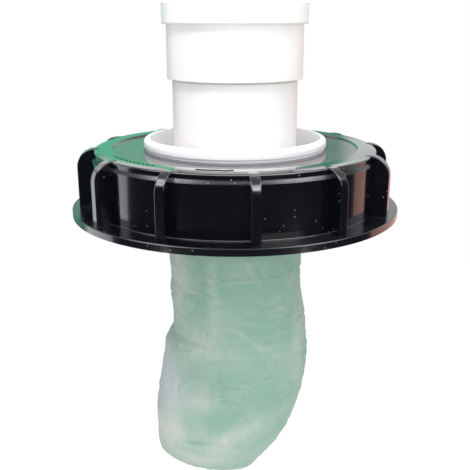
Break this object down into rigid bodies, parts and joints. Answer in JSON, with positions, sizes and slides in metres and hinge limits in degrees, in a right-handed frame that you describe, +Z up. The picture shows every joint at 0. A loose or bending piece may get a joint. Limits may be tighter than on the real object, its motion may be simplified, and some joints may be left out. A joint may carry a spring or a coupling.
{
  "type": "tank lid filter",
  "caption": "Ribbed black screw lid for a wide tank neck, with a white cup and rain pipe socket through its middle and a pale green mesh filter bag hanging below.",
  "frame": {"origin": "centre of the lid's open mouth, on the plane of its bottom rim, where the lid screws on to the tank's neck", "axes": "+Z up along the rain pipe, -Y towards the pictured side, +X to the right in the picture"},
  "size_m": [0.2, 0.2, 0.3153],
  "materials": {
    "black_lid": "gloss",
    "gasket_rubber": "matt",
    "white_cup": "satin",
    "white_nut": "satin",
    "white_pipe": "satin",
    "white_coupling": "satin",
    "green_mesh": "woven",
    "clamp_steel": "brushed",
    "screw_steel": "satin"
  },
  "bodies": {
    "root": {"lid": "black_lid", "neck_gasket": "gasket_rubber", "filter_cup": "white_cup", "cup_nut": "white_nut", "pipe_stub": "white_pipe", "pipe_socket": "white_coupling", "filter_bag": "green_mesh", "bag_clamp": "clamp_steel", "clamp_screw": "screw_steel"}
  },
  "joints": []
}
